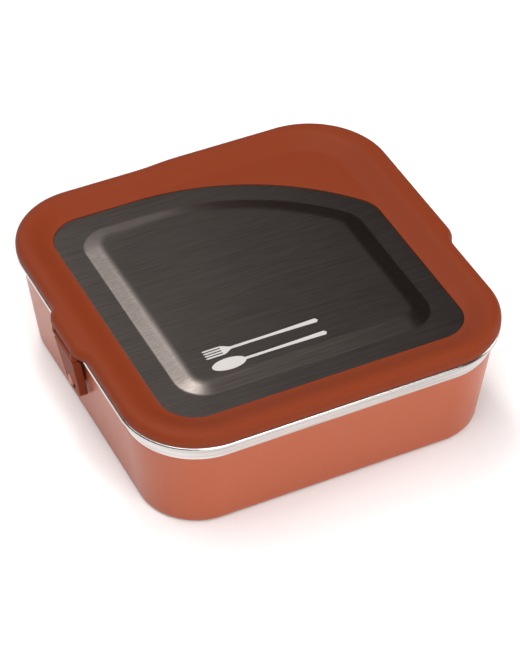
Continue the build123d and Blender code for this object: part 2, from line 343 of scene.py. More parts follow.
# %% Parallel lines of brushed steel
LINE_HEIGHT = 0.1 * MM
BROAD_SHARE = (0.40, 0.40, 0.40)
brush_group, brush_in, brush_out = new_group(
    "brushed_lines",
    [("Lines per Metre", 1800.0), ("Length along X", 40.0), ("Length along Y", 1.0),
     ("Line Depth", 0.2)],
    [("Normal", "NodeSocketVector"), ("Streaks", "NodeSocketFloat")])
place = add_node(brush_group, "ShaderNodeTexCoord")
over_x, over_y = (add_node(brush_group, "ShaderNodeMath", {
    0: brush_in.outputs["Lines per Metre"], 1: brush_in.outputs[length]}, operation="DIVIDE")
    for length in ("Length along X", "Length along Y"))
stretch = add_node(brush_group, "ShaderNodeCombineXYZ", {
    "X": over_x.outputs[0], "Y": over_y.outputs[0], "Z": brush_in.outputs["Lines per Metre"]})
along = add_node(brush_group, "ShaderNodeVectorMath", {
    0: place.outputs["Object"], 1: stretch.outputs[0]}, operation="MULTIPLY")
fine = add_node(brush_group, "ShaderNodeTexNoise", {
    "Vector": along.outputs[0], "Scale": 1.0, "Detail": 4.0, "Roughness": 0.65})
wider = add_node(brush_group, "ShaderNodeVectorMath", {
    0: along.outputs[0], 1: BROAD_SHARE}, operation="MULTIPLY")
broad = add_node(brush_group, "ShaderNodeTexNoise", {
    "Vector": wider.outputs[0], "Scale": 1.0, "Detail": 2.0})
both = add_node(brush_group, "ShaderNodeMath", {
    0: fine.outputs["Fac"], 1: broad.outputs["Fac"]}, operation="ADD")
half_sum = add_node(brush_group, "ShaderNodeMath", {
    0: both.outputs[0], 1: 0.5}, operation="MULTIPLY")
line_bump = add_node(brush_group, "ShaderNodeBump", {
    "Height": fine.outputs["Fac"], "Strength": brush_in.outputs["Line Depth"],
    "Distance": LINE_HEIGHT})
brush_group.links.new(line_bump.outputs["Normal"], brush_out.inputs["Normal"])
brush_group.links.new(half_sum.outputs[0], brush_out.inputs["Streaks"])
print(brush_group.name, "has", len(brush_group.nodes), "nodes")

# %% Smears from handling
touch_group, touch_in, touch_out = new_group(
    "handling_marks",
    [("Smear Scale", 28.0), ("Amount", 0.1)], [("Roughness Shift", "NodeSocketFloat")])
place = add_node(touch_group, "ShaderNodeTexCoord")
smears = add_node(touch_group, "ShaderNodeTexNoise", {
    "Vector": place.outputs["Object"], "Scale": touch_in.outputs["Smear Scale"],
    "Detail": 3.0, "Roughness": 0.5})
centred = add_node(touch_group, "ShaderNodeMath", {
    0: smears.outputs["Fac"], 1: 0.5}, operation="SUBTRACT")
shift = add_node(touch_group, "ShaderNodeMath", {
    0: centred.outputs[0], 1: touch_in.outputs["Amount"]}, operation="MULTIPLY")
touch_group.links.new(shift.outputs[0], touch_out.inputs["Roughness Shift"])
print(touch_group.name, "has", len(touch_group.nodes), "nodes")

# %% [markdown]
# ## Finishes
#
# The lid and latches are dyed plastic with a matte spark-eroded skin, the tray is satin powder coat
# over steel, and the plate is dark steel brushed from side to side. Each finish is one material: a
# Principled shader with its fixed numbers on its own sockets, and the shared groups feeding what
# varies over the surface. A plain colour would look like a toy: it's the small drift in tone and
# gloss that reads as plastic, paint or metal.

# %% A finish from its numbers
def finish(name, colour, roughness, **fixed):
    """A new material, its tree and its shader, with unvarying values set on the sockets."""
    material = bpy.data.materials.new(name)
    material.use_nodes = True
    tree = material.node_tree
    shader = tree.nodes["Principled BSDF"]
    shader.inputs["Base Color"].default_value = (*colour, 1)
    shader.inputs["Roughness"].default_value = roughness
    for key, value in fixed.items():
        shader.inputs[key.replace("_", " ")].default_value = value
    return material, tree, shader


def vary_roughness(tree, shader, base, shift, low=0.05):
    """Roughness that wanders about its base value."""
    total = add_node(tree, "ShaderNodeMath", {0: shift, 1: base}, operation="ADD")
    kept = add_node(tree, "ShaderNodeMath", {0: total.outputs[0], 1: low}, operation="MAXIMUM")
    tree.links.new(kept.outputs[0], shader.inputs["Roughness"])


def vary_colour(tree, shader, dark, light, mask, low=0.3, high=0.7):
    """Colour that drifts between two close tones."""
    spread = add_node(tree, "ShaderNodeMapRange", {"Value": mask, "From Min": low, "From Max": high})
    mix = add_node(tree, "ShaderNodeMix", {0: spread.outputs["Result"]}, data_type="RGBA")
    mix.inputs[6].default_value = (*dark, 1)
    mix.inputs[7].default_value = (*light, 1)
    tree.links.new(mix.outputs[2], shader.inputs["Base Color"])


print("materials before the first finish:", len(bpy.data.materials))



# %% Moulded lid: matte, fine sparked grain
moulding, tree, shader = finish("lid_moulding", (0.188, 0.0295, 0.0075), 0.55, Specular_IOR_Level=0.11)
grain = use_group(tree, grain_group, {"Grains per Metre": 3800.0, "Grain Depth": 0.35, "Waviness": 0.12})
touch = use_group(tree, touch_group, {"Smear Scale": 35.0, "Amount": 0.12})
vary_roughness(tree, shader, 0.55, touch.outputs["Roughness Shift"])
vary_colour(tree, shader, (0.179, 0.0278, 0.0070), (0.197, 0.0312, 0.0080),
            grain.outputs["Grain"])
tree.links.new(grain.outputs["Normal"], shader.inputs["Normal"])
print(moulding.name, "has", len(tree.nodes), "nodes")

# %% Powder coat: satin, slight orange peel
# Roughness stays above 0.28 all over: a coat that wanders across 0.27 shows faint outlines once a
# render is denoised, because glossy and matt surfaces are cleaned in different ways.
coat, tree, shader = finish("powder_coat", (0.363, 0.077, 0.0278), 0.33, Specular_IOR_Level=0.34)
grain = use_group(tree, grain_group, {"Grains per Metre": 1500.0, "Grain Depth": 0.14, "Waviness": 0.05})
touch = use_group(tree, touch_group, {"Smear Scale": 22.0, "Amount": 0.10})
vary_roughness(tree, shader, 0.33, touch.outputs["Roughness Shift"])
vary_colour(tree, shader, (0.352, 0.074, 0.0265), (0.374, 0.080, 0.0290),
            grain.outputs["Grain"])
tree.links.new(grain.outputs["Normal"], shader.inputs["Normal"])
print(coat.name, "has", len(tree.nodes), "nodes")

# %% Bare steel of the rim and the inside
steel, tree, shader = finish("bare_steel", (0.58, 0.56, 0.54), 0.23, Metallic=1.0)
touch = use_group(tree, touch_group, {"Smear Scale": 30.0, "Amount": 0.16})
brushed = use_group(tree, brush_group, {
    "Lines per Metre": 2400.0, "Length along X": 60.0, "Length along Y": 60.0, "Line Depth": 0.05})
vary_roughness(tree, shader, 0.23, touch.outputs["Roughness Shift"])
vary_colour(tree, shader, (0.49, 0.47, 0.45), (0.68, 0.66, 0.64),
            brushed.outputs["Streaks"], 0.38, 0.62)
tree.links.new(brushed.outputs["Normal"], shader.inputs["Normal"])
print(steel.name, "has", len(tree.nodes), "nodes")

# %% Brushed plate: long lines from side to side
plate_steel, tree, shader = finish(
    "brushed_plate", (0.125, 0.107, 0.098), 0.32, Metallic=1.0, Anisotropic=0.75)
brushed = use_group(tree, brush_group, {
    "Lines per Metre": 4200.0, "Length along X": 42.0, "Length along Y": 1.0, "Line Depth": 0.12})
touch = use_group(tree, touch_group, {"Smear Scale": 18.0, "Amount": 0.08})
vary_roughness(tree, shader, 0.32, touch.outputs["Roughness Shift"])
vary_colour(tree, shader, (0.098, 0.083, 0.076), (0.152, 0.131, 0.120),
            brushed.outputs["Streaks"], 0.35, 0.65)
tree.links.new(brushed.outputs["Normal"], shader.inputs["Normal"])
grain_way = add_node(tree, "ShaderNodeTangent", direction_type="UV_MAP", uv_map="across_lines")
tree.links.new(grain_way.outputs["Tangent"], shader.inputs["Tangent"])
print(plate_steel.name, "has", len(tree.nodes), "nodes")

# %% Etched mark
etched, tree, shader = finish("etched_mark", (0.55, 0.52, 0.50), 0.62, Metallic=0.35)
grain = use_group(tree, grain_group, {"Grains per Metre": 6000.0, "Grain Depth": 0.5, "Waviness": 0.0})
vary_colour(tree, shader, (0.48, 0.455, 0.44), (0.60, 0.57, 0.55), grain.outputs["Grain"])
tree.links.new(grain.outputs["Normal"], shader.inputs["Normal"])
print(etched.name, "has", len(tree.nodes), "nodes")

# %% Seal rubber: soft and slightly translucent
rubber, tree, shader = finish("seal_rubber", (0.62, 0.60, 0.56), 0.5, Subsurface_Weight=0.15)
shader.inputs["Subsurface Radius"].default_value = (0.002, 0.0018, 0.0015)
grain = use_group(tree, grain_group, {"Grains per Metre": 2600.0, "Grain Depth": 0.2, "Waviness": 0.2})
vary_colour(tree, shader, (0.58, 0.56, 0.52), (0.66, 0.64, 0.60), grain.outputs["Grain"])
tree.links.new(grain.outputs["Normal"], shader.inputs["Normal"])
print(rubber.name, "has", len(tree.nodes), "nodes")

# %% Pin wire: drawn steel
wire, tree, shader = finish("pin_wire", (0.70, 0.69, 0.67), 0.22, Metallic=1.0)
touch = use_group(tree, touch_group, {"Smear Scale": 300.0, "Amount": 0.2})
vary_roughness(tree, shader, 0.22, touch.outputs["Roughness Shift"])
grain = use_group(tree, grain_group, {"Grains per Metre": 5000.0, "Grain Depth": 0.15, "Waviness": 0.0})
tree.links.new(grain.outputs["Normal"], shader.inputs["Normal"])
print("finishes:", [m.name for m in (moulding, coat, steel, plate_steel, etched, rubber, wire)])

# %% [markdown]
# ## A section carried round the box
#
# The tray is one section of sheet steel taken round a rounded square: that is how a drawn tray
# looks, and it is what a sweep does. A Geometry Nodes tree holds the rule, so that the same tree
# makes the tray and the rubber seal. The path is the smallest rounded square, where the flat base
# begins, and the section stands outside it, so the corners of every line share one centre.

# %% The sweep's named inputs
SWEEP_INPUTS = (("Section", "Geometry"), ("Path Half Width", "Float"), ("Path Corner Radius", "Float"),
                ("Corner Steps", "Int"), ("Has Base", "Bool"), ("Base Thickness", "Float"),
                ("Inner Finish", "Material"), ("Outer Finish", "Material"))


def painted(tree, geometry, finish_input, selection=None):
    """The geometry, or the selected part of it, in one of the given finishes."""
    sockets = {"Geometry": geometry, "Material": finish_input}
    if selection:
        sockets["Selection"] = selection
    return add_node(tree, "GeometryNodeSetMaterial", sockets).outputs[0]


print("the sweep has", len(SWEEP_INPUTS), "inputs")


# %% The path and the wall it carries
COATED_FROM = 0.25


def path_and_wall(tree, given):
    """A rounded square, and the section carried round it, coated where its points say so."""
    full = add_node(tree, "ShaderNodeMath", {
        0: given["Path Half Width"], 1: 2.0}, operation="MULTIPLY")
    square = add_node(tree, "GeometryNodeCurvePrimitiveQuadrilateral", {
        "Width": full.outputs[0], "Height": full.outputs[0]}, mode="RECTANGLE")
    path = add_node(tree, "GeometryNodeFilletCurve", {
        "Curve": square.outputs[0], "Count": given["Corner Steps"],
        "Radius": given["Path Corner Radius"]}, mode="POLY")
    upright = add_node(tree, "GeometryNodeSetCurveNormal", {"Curve": path.outputs[0]}, mode="Z_UP")
    section = add_node(tree, "GeometryNodeMeshToCurve", {"Mesh": given["Section"]})
    wall = add_node(tree, "GeometryNodeCurveToMesh", {
        "Curve": upright.outputs[0], "Profile Curve": section.outputs[0]})
    outer = add_node(tree, "GeometryNodeInputNamedAttribute", {"Name": "outer"}, data_type="FLOAT")
    is_outer = add_node(tree, "FunctionNodeCompare", {
        0: outer.outputs["Attribute"], 1: COATED_FROM}, data_type="FLOAT", operation="GREATER_THAN")
    plain = painted(tree, wall.outputs[0], given["Inner Finish"])
    return path.outputs[0], painted(tree, plain, given["Outer Finish"], is_outer.outputs[0])


print("points flagged above", COATED_FROM, "are coated")


# %% The flat base, and the whole tree
WELD_GAP = 1e-6


def base_faces(tree, given, path):
    """The underside and the inside of the base, one sheet thickness apart."""
    disc = add_node(tree, "GeometryNodeFillCurve", {"Curve": path}, mode="NGONS")
    above = add_node(tree, "ShaderNodeCombineXYZ", {"Z": given["Base Thickness"]})
    raised = add_node(tree, "GeometryNodeTransform", {
        "Geometry": disc.outputs[0], "Translation": above.outputs[0]})
    turned = add_node(tree, "GeometryNodeFlipFaces", {"Mesh": disc.outputs[0]})
    inside = painted(tree, raised.outputs[0], given["Inner Finish"])
    return painted(tree, turned.outputs[0], given["Outer Finish"]), inside


def sweep_tree():
    """Section (a chain of edges: x outwards, -y upwards) swept round a rounded square."""
    tree = bpy.data.node_groups.new("section_round_the_box", "GeometryNodeTree")
    for label, kind in SWEEP_INPUTS:
        tree.interface.new_socket(label, in_out="INPUT", socket_type="NodeSocket" + kind)
    tree.interface.new_socket("Geometry", in_out="OUTPUT", socket_type="NodeSocketGeometry")
    given = tree.nodes.new("NodeGroupInput").outputs
    path, wall = path_and_wall(tree, given)
    whole = add_node(tree, "GeometryNodeJoinGeometry")
    for part in (*base_faces(tree, given, path), wall):
        tree.links.new(part, whole.inputs[0])
    welded = add_node(tree, "GeometryNodeMergeByDistance", {
        "Geometry": whole.outputs[0], "Distance": WELD_GAP})
    choice = add_node(tree, "GeometryNodeSwitch", {
        "Switch": given["Has Base"], "False": wall, "True": welded.outputs[0]},
        input_type="GEOMETRY")
    real = add_node(tree, "GeometryNodeRealizeInstances", {"Geometry": choice.outputs[0]})
    smooth = add_node(tree, "GeometryNodeSetShadeSmooth", {"Geometry": real.outputs[0]})
    out = tree.nodes.new("NodeGroupOutput")
    tree.links.new(smooth.outputs[0], out.inputs[0])
    return tree


round_box = sweep_tree()
print(round_box.name, "has", len(round_box.nodes), "nodes")

# %% Use the sweep
PATH_HALF = CORNER_CENTRE + 4.3 * MM
CORNER_STEPS = 40


def set_input(modifier, name, value):
    """Set a Geometry Nodes input by its socket's identifier."""
    socket = next(s for s in modifier.node_group.interface.items_tree
                  if s.name == name and s.in_out == "INPUT")
    modifier[socket.identifier] = value


def swept(name, section, outer_flags, closed, inner, outer, has_base=False):
    """The section (half width, height) carried round the box, as a plain mesh."""
    points = [(x - PATH_HALF, -z, 0) for x, z in section]
    edges = [(i, i + 1) for i in range(len(points) - 1)]
    if closed:
        edges.append((len(points) - 1, 0))
    chain = bpy.data.meshes.new(name)
    chain.from_pydata(points, edges, [])
    flags = chain.attributes.new("outer", "FLOAT", "POINT")
    flags.data.foreach_set("value", outer_flags)
    piece = add_piece(name, chain)
    sweep = piece.modifiers.new("sweep", "NODES")
    sweep.node_group = round_box
    set_input(sweep, "Path Half Width", PATH_HALF)
    set_input(sweep, "Path Corner Radius", PATH_HALF - CORNER_CENTRE)
    set_input(sweep, "Corner Steps", CORNER_STEPS)
    set_input(sweep, "Has Base", has_base)
    set_input(sweep, "Base Thickness", SHEET)
    set_input(sweep, "Inner Finish", inner)
    set_input(sweep, "Outer Finish", outer)
    seen = piece.evaluated_get(bpy.context.evaluated_depsgraph_get())
    mesh = bpy.data.meshes.new_from_object(seen)
    piece.modifiers.clear()
    piece.data = mesh
    shade(mesh)
    print(name, "has", len(mesh.polygons), "faces")
    return piece


print("the path's corner radius is", round((PATH_HALF - CORNER_CENTRE) / MM, 2), "mm")

# %% [markdown]
# ## The steel tray
#
# A press draws the tray from one sheet, then the edge is rolled outwards into a bead that a lip
# or a finger can touch safely. The outside is powder coated up to a masked line below the bead,
# and the coat stands a hair proud of the bare band above it, so the section has a small step there.

# %% Draw the sheet's section and sweep it
COAT_EDGE = 40.9 * MM
COAT_THICK = 0.12 * MM
BASE_FILLET = 3.0 * MM
CURL_END = -140
BEAD_GAP = 1.2 * MM
WALL_STOPS = (4 * MM, 20 * MM, 40 * MM)


def base_curve(radius, steps):
    """The bottom curve of one face of the sheet, from the base up to the wall."""
    centre = (wall_outside(BASE_FILLET) - BASE_FILLET / math.cos(DRAFT), BASE_FILLET)
    return arc(centre, radius, -90, -math.degrees(DRAFT), steps)


def tray_section():
    """Inside first, over the rolled rim and down the outside; flags mark the coated points."""
    start = 180 - math.degrees(DRAFT)
    inside = [(PATH_HALF, SHEET)] + base_curve(BASE_FILLET - SHEET, 6)
    inside += [(wall_inside(z), z) for z in (*WALL_STOPS, CURL_Z - 0.4 * MM)]
    curl = arc((CURL_X, CURL_Z), CURL_R, start, CURL_END, 26)
    back = arc((CURL_X, CURL_Z), CURL_R - SHEET, CURL_END, start, 16)
    bare = [(wall_outside(z) - COAT_THICK, z) for z in (CURL_Z - BEAD_GAP, COAT_EDGE + 0.15 * MM)]
    coated = [(wall_outside(z), z) for z in (COAT_EDGE, COAT_EDGE - 0.2 * MM, *WALL_STOPS[1::-1])]
    coated += base_curve(BASE_FILLET, 8)[::-1] + [(PATH_HALF, 0)]
    section = inside + curl + back + bare + coated
    return section, [0.0] * (len(section) - len(coated)) + [1.0] * len(coated)


section, flags = tray_section()
tray = swept("tray", section, flags, closed=False, inner=steel, outer=coat, has_base=True)
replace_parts(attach(tray, "tray"), "body_shell")

# %% [markdown]
# ## The studs
#
# A stud is a turned button welded to the wall and coated with it. The latch's hole drops over it.
# A lathe profile is the natural way: flat head, rounded edge, straight shank into the wall.

# %% Turn the two studs
stud_low, stud_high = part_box("right_stud")
STUD_R = (stud_high.y - stud_low.y) / 2
STUD_Z = (stud_high.z + stud_low.z) / 2
STUD_EDGE = 0.8 * MM
SHANK_SINK = 0.2 * MM
shank_start = wall_inside(STUD_Z) + SHANK_SINK
head = arc((stud_high.x - STUD_EDGE, STUD_R - STUD_EDGE), STUD_EDGE, 90, 0, 7)
profile = [(shank_start, STUD_R * 0.98), (wall_outside(STUD_Z) + SHANK_SINK, STUD_R)] + head
profile += [(stud_high.x, (STUD_R - STUD_EDGE) * 0.5)]
for side, name in ((1, "right"), (-1, "left")):
    mesh = lathe(name + "_stud_button", profile, (0, 0, STUD_Z), (side, 0, 0))
    stud = add_piece(name + "_stud_button", mesh, coat)
    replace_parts(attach(stud, "tray"), name + "_stud")
    print(stud.name, "has", len(mesh.polygons), "faces")

# %% [markdown]
# ## The lid moulding
#
# The ring has a soft shoulder, a crest just inside it and a dished top that falls to the plate.
# Under it are the ledge for the plate, the plug wall with the groove for its seal, and the ears
# that hold the hinge pins. The outline bulges over each latch and grows into a pull corner at the
# back right. One closed band of quads does it all: each row follows the outer edge, the plug or the
# plate, and the dish takes its height from the true distance to the outer edge.

# %% Outline of the lid
BULGE_HALF = 9.5 * MM
BULGE_STEP = 11.0 * MM
PULL_START = -20.0 * MM
PULL_STEP = 24.0 * MM
PULL_CORNER_R = 37.0 * MM
NO_BULGE = LID_HALF + 0.01 * MM


def lid_outline(bulge):
    """The lid's edge, with its bulges this far from the middle."""
    half, c, near, far = LID_HALF, CORNER_CENTRE, BULGE_HALF, BULGE_HALF + BULGE_STEP
    back = PULL_BACK
    stops = [(bulge, back - PULL_CORNER_R), (bulge - PULL_CORNER_R, back)]
    stops.append((PULL_START + PULL_STEP, back))
    stops += step_stops(stops[-1], (PULL_START, half))
    stops += [(-c, half), (-half, c), (-half, far)] + step_stops((-half, far), (-bulge, near))
    stops += [(-bulge, -near)] + step_stops((-bulge, -near), (-half, -far))
    stops += [(-half, -c), (-c, -half), (c, -half), (half, -c), (half, -far)]
    stops += step_stops((half, -far), (bulge, -near))
    return trace((bulge, -near), (0, 1), stops)


lid_edge = lid_outline(BULGE_X)
plain_edge = lid_outline(NO_BULGE)
print("lid outline has", len(lid_edge), "points")

# %% Outlines of the plate and the plug wall
SWEEP_R = 115.0 * MM
SWEEP_START = -24.0 * MM
PLATE_LEFT_R, PLATE_FRONT_R, PLATE_END_R = 16 * MM, 14 * MM, 16 * MM


def swept_square(inset, left_r, front_r, end_r):
    """A square with a big arc across its back right, this far inside the plate's edge."""
    half, sweep_r = PLATE_HALF - inset, SWEEP_R - inset
    blend_x, reach = half - end_r, sweep_r - end_r
    centre_y = PLATE_HALF - SWEEP_R
    blend_y = centre_y + math.sqrt(reach**2 - (blend_x - SWEEP_START)**2)
    share = sweep_r / reach
    meet = (SWEEP_START + (blend_x - SWEEP_START) * share, centre_y + (blend_y - centre_y) * share)
    stops = [(half, blend_y), meet, (SWEEP_START, half), (-half + left_r, half), (-half, half - left_r),
             (-half, -half + left_r), (-half + left_r, -half), (half - front_r, -half),
             (half, -half + front_r)]
    return trace((half, -half + front_r), (0, 1), stops)


def rounded_square(half):
    """The plug wall's outline, with corners about the same centres as the lid's."""
    c = CORNER_CENTRE
    stops = [(half, c), (c, half), (-c, half), (-half, c), (-half, -c), (-c, -half), (c, -half),
             (half, -c), (half, 0)]
    return trace((half, 0), (0, 1), stops)


plate_edge = swept_square(0, PLATE_LEFT_R, PLATE_FRONT_R, PLATE_END_R)
print("plate outline has", len(plate_edge), "points")

# %% The ring's own sizes
SHOULDER_R = 3.6 * MM
LOWER_R = 0.8 * MM
CREST = 4.4 * MM
RING_WIDTH = LID_HALF - PLATE_HALF
DISH_DEPTH = 4.0 * MM
LIP_R = 0.25 * MM
PLATE_FIT = 0.1 * MM
LEDGE_WIDTH = 5.0 * MM
LEDGE_THICK = 1.6 * MM
PLUG_GAP = 0.6 * MM
PLUG_WALL = 1.8 * MM
SEAL_TOP = LID_UNDER - 2.2 * MM
SEAL_HEIGHT = 2.6 * MM
SEAL_GROOVE = 0.9 * MM
PLUG_NOSE = 0.4 * MM
ROOT_R = 0.5 * MM
LEDGE_SOFT = 0.3 * MM
BEFORE_BEND = 0.1 * MM
plug_half = wall_inside(PLUG_END) - PLUG_GAP
print("plug wall is", round(2 * plug_half / MM, 1), "mm across")


# %% The ring's dished top
def nearest_distance(points, outline):
    """How far each point is from a closed outline."""
    best = np.full(len(points), np.inf)
    a, b = outline, np.roll(outline, -1, 0)
    for start, end in zip(a, b):
        edge = end - start
        share = np.clip(((points - start) @ edge) / (edge @ edge), 0, 1)
        best = np.minimum(best, np.linalg.norm(points - start - share[:, None] * edge, axis=1))
    return best


def dish_height(depth):
    """Height of the ring's top this far in from the outer edge."""
    share = np.clip((depth - CREST) / (RING_WIDTH - CREST), 0, 1)
    return LID_TOP - DISH_DEPTH * share**2 * (3 - 2 * share)


def row(xy, z):
    """Points on an outline at one height, or at one height each."""
    return np.column_stack((xy, np.broadcast_to(z, len(xy))))


print("the dish is", round((LID_TOP - dish_height(RING_WIDTH)) / MM, 1), "mm deep")

# %% Three ways to place a row
ring_edge, ring_in = lid_edge[::3], inward(lid_edge)[::3]
bearings = np.arctan2(ring_edge[:, 1], ring_edge[:, 0])
plate_here = at_bearings(plate_edge, bearings)
plate_in = inward_at(plate_edge, bearings)


def from_edge(inset):
    """An outline this far inside the lid's edge."""
    return ring_edge + ring_in * inset


def from_plate(inset):
    """An outline this far inside the plate's edge."""
    return plate_here + plate_in * inset


def plug(half):
    """An outline of the plug wall, this far from the middle."""
    return at_bearings(rounded_square(half), bearings)


def bend(make, side, level, across, rise, turns):
    """Rows round a corner; its faces would meet at side and level, 90 is flat and 0 upright."""
    return [row(make(side + across * (1 - math.cos(t))), level + rise * (1 - math.sin(t)))
            for t in np.radians(turns)]


print("each row has", len(ring_edge), "points")


# %% Rows over the top and down the edge
DOWN, UP = np.linspace(90, 0, 4), np.linspace(0, 90, 4)
TOP_ROWS = 26


def top_rows():
    """From the plate's lip over the crest and the shoulder to the underside."""
    lip, crest = from_plate(-(PLATE_FIT + LIP_R)), from_edge(CREST)
    across = [lip + (crest - lip) * share for share in np.linspace(0, 1, TOP_ROWS)]
    rows = [row(xy, dish_height(nearest_distance(xy, plain_edge[::2]))) for xy in across]
    rows += bend(from_edge, 0, LID_TOP, SHOULDER_R, -SHOULDER_R, np.linspace(90, 0, 10))
    rows.append(row(ring_edge, LID_UNDER + LOWER_R + 1.5 * BEFORE_BEND))
    rows += bend(from_edge, 0, LID_UNDER, LOWER_R, LOWER_R, np.linspace(0, 90, 5))
    rows.append(row(from_edge(LOWER_R + 2 * BEFORE_BEND), LID_UNDER))
    return rows


print("the shoulder's radius is", round(SHOULDER_R / MM, 1), "mm")


# %% Rows round the plug wall and its groove
def plug_rows():
    """Down the outside of the plug wall, round its nose and up to the ledge."""
    groove, inner = plug_half - SEAL_GROOVE, plug_half - PLUG_WALL
    rows = [row(plug(plug_half + ROOT_R + BEFORE_BEND), LID_UNDER)]
    rows += bend(plug, plug_half, LID_UNDER, ROOT_R, -ROOT_R, DOWN)
    for half, z in ((plug_half, SEAL_TOP), (groove, SEAL_TOP), (groove, SEAL_TOP - SEAL_HEIGHT),
                    (plug_half, SEAL_TOP - SEAL_HEIGHT),
                    (plug_half, PLUG_END + PLUG_NOSE + BEFORE_BEND)):
        rows.append(row(plug(half), z))
    rows += bend(plug, plug_half, PLUG_END, -PLUG_NOSE, PLUG_NOSE, UP)
    rows += bend(plug, inner, PLUG_END, PLUG_NOSE, PLUG_NOSE, DOWN)
    rows.append(row(plug(inner), PLUG_END + PLUG_NOSE + BEFORE_BEND))
    rows += bend(plug, inner, PLATE_UNDER - LEDGE_THICK, -ROOT_R, -ROOT_R, UP)
    rows.append(row(plug(inner - ROOT_R - BEFORE_BEND), PLATE_UNDER - LEDGE_THICK))
    return rows


print("the seal's groove is", round(SEAL_GROOVE / MM, 1), "mm deep")


# %% Rows round the ledge, and the whole ring
def ledge_rows():
    """Round the ledge that carries the plate, and up the plate's recess to the lip."""
    under, flat = PLATE_UNDER - LEDGE_THICK, LEDGE_WIDTH - LEDGE_SOFT - BEFORE_BEND
    rows = [row(from_plate(flat), under)]
    rows += bend(from_plate, LEDGE_WIDTH, under, -LEDGE_SOFT, LEDGE_SOFT, DOWN)
    rows += bend(from_plate, LEDGE_WIDTH, PLATE_UNDER, -LEDGE_SOFT, -LEDGE_SOFT, UP)
    rows += [row(from_plate(flat), PLATE_UNDER), row(from_plate(-PLATE_FIT), PLATE_UNDER)]
    lip_z = LID_TOP - DISH_DEPTH
    rows.append(row(from_plate(-PLATE_FIT), lip_z - LIP_R - BEFORE_BEND))
    return rows + bend(from_plate, -PLATE_FIT, lip_z, -LIP_R, -LIP_R, UP)[:-1]


ring_mesh = rows_to_mesh("lid_ring", top_rows() + plug_rows() + ledge_rows(), closed=True)
print("lid ring has", len(ring_mesh.polygons), "faces")

# %% Shape an ear that holds a pin
EAR_NEAR, EAR_FAR = 8.3 * MM, 10.3 * MM
EAR_SINK = 0.6 * MM
EAR_SOFT = 0.25 * MM


def ear_mesh(side, y_sign):
    """One ear: an upright with a round end about the pin, its edges softened."""
    work = bmesh.new()
    outline = arc((HINGE_X, HINGE_Z), KNUCKLE_R, 180, 360, 16)
    outline += [(HINGE_X + way * KNUCKLE_R, LID_UNDER + EAR_SINK) for way in (1, -1)]
    near = [work.verts.new((x * side, y_sign * EAR_NEAR, z)) for x, z in outline]
    away = [work.verts.new((x * side, y_sign * EAR_FAR, z)) for x, z in outline]
    work.faces.new(near)
    work.faces.new(away)
    for i in range(len(outline)):
        j = (i + 1) % len(outline)
        work.faces.new((near[i], near[j], away[j], away[i]))
    bmesh.ops.recalc_face_normals(work, faces=work.faces)
    rims = [e for e in work.edges if e.calc_face_angle(0) > math.radians(60)]
    bmesh.ops.bevel(work, geom=rims, offset=EAR_SOFT, segments=3, profile=0.5, affect="EDGES")
    mesh = bpy.data.meshes.new("ear")
    work.to_mesh(mesh)
    work.free()
    return mesh


print("each ear is", round((EAR_FAR - EAR_NEAR) / MM, 1), "mm thick")

# %% Join the ears to the ring
work = bmesh.new()
work.from_mesh(ring_mesh)
for side in (1, -1):
    for y_sign in (1, -1):
        ear = ear_mesh(side, y_sign)
        work.from_mesh(ear)
        bpy.data.meshes.remove(ear)
work.to_mesh(ring_mesh)
work.free()
shade(ring_mesh)
lid_ring = add_piece("lid_ring", ring_mesh, moulding)
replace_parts(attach(lid_ring, "lid"), "lid_frame")
print("lid ring with its ears has", len(ring_mesh.polygons), "faces")

# %% [markdown]
# ## The lid plate
#
# The plate is pressed from brushed sheet: a flat rim, a smooth slope and a raised middle with a
# barely visible crown, hollow underneath. Rows of points run from the middle of the top, out over
# the edge and back underneath, so that the sheet has its real thickness.

# %% The plate's own sizes
PANEL_INSET = 10.0 * MM
PANEL_CORNER_R = 14.0 * MM
PANEL_SLOPE = 6.5 * MM
SOFT_HEAD = 3.0 * MM
PANEL_CROWN = 0.25 * MM
EDGE_R = 0.08 * MM
HEAD_ROUND, FOOT_ROUND = 0.45, 0.12
panel_edge = swept_square(PANEL_INSET, PANEL_CORNER_R, PANEL_CORNER_R, PANEL_CORNER_R)
print("panel outline has", len(panel_edge), "points")


# %% The slope and the crown
def bevel_drop(share):
    """How much of the rise is lost this far down the slope: an even bevel with rounded ends."""
    steepest = 1 / (1 - HEAD_ROUND / 2 - FOOT_ROUND / 2)
    if share < HEAD_ROUND:
        return steepest * share**2 / (2 * HEAD_ROUND)
    if share > 1 - FOOT_ROUND:
        return 1 - steepest * (1 - share)**2 / (2 * FOOT_ROUND)
    return steepest * (share - HEAD_ROUND / 2)


def crown(xy):
    """The slight swelling of the raised middle."""
    reach = PLATE_HALF - PANEL_INSET
    return PANEL_CROWN * np.clip(1 - (xy**2).sum(1) / (2 * reach**2), 0, 1)


print("half way down the slope", round(bevel_drop(0.5), 2), "of the rise is gone")

# %% Rows over the top, round the edge and back underneath
FLAT_SHARES = (0.004, 0.15, 0.3, 0.45, 0.6, 0.75, 0.9, 0.97)
RIM_SHARES = (0.02, 0.3, 0.7, 0.95, 0.995)
SLOPE_ROWS = 25
edge, into = plate_edge[::3], inward(plate_edge)[::3]
rays = np.arctan2(edge[:, 1], edge[:, 0])
foot = at_bearings(panel_edge, rays)
head = foot + inward_at(panel_edge, rays) * (PANEL_SLOPE + SOFT_HEAD)


